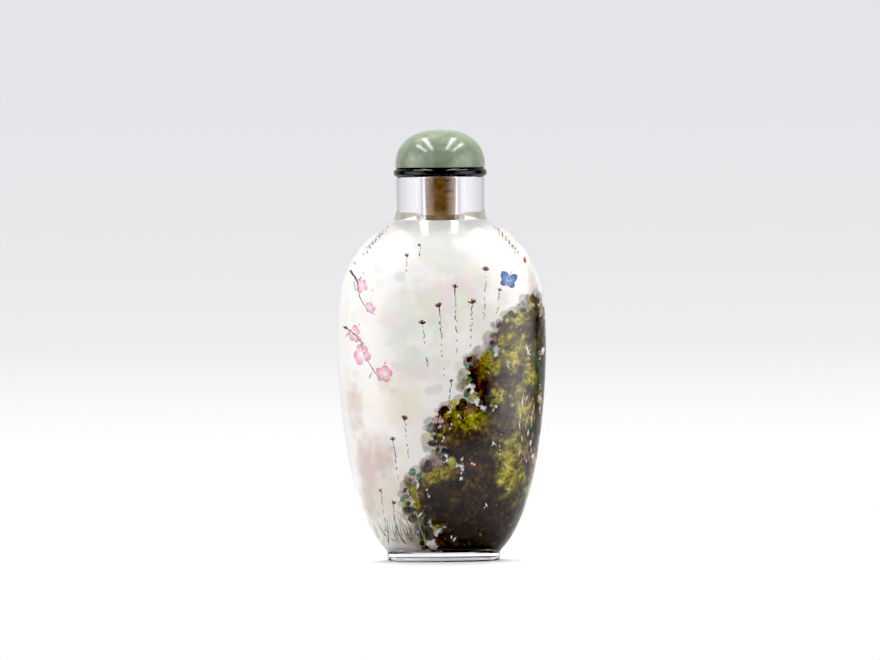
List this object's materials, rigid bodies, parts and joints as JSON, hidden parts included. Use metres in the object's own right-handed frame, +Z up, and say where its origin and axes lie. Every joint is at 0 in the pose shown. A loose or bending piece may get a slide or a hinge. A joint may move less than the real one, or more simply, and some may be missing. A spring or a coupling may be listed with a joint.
{
  "type": "inside-painted snuff bottle",
  "caption": "Flattened clear glass snuff bottle, painted on the inside, with an oval ring foot, a round neck and a stopper of cork, black collar and green stone cap.",
  "frame": {"origin": "on the table, under the middle of the foot", "axes": "+Z up through the neck, +X across the broad face to the viewer's right, -Y out of the front face"},
  "size_m": [0.0418, 0.026, 0.0862],
  "materials": {
    "clear_glass": "clear, fire polished outside and frosted inside under the painting",
    "cork": "natural cork, cut and tapered",
    "black_collar": "polished black",
    "green_stone": "polished grey-green stone",
    "painting": "thin water-based paint on frosted glass"
  },
  "bodies": {
    "root": {"glass_bottle": "clear_glass", "cork": "cork", "collar": "black_collar", "stone_cap": "green_stone"}
  },
  "joints": []
}
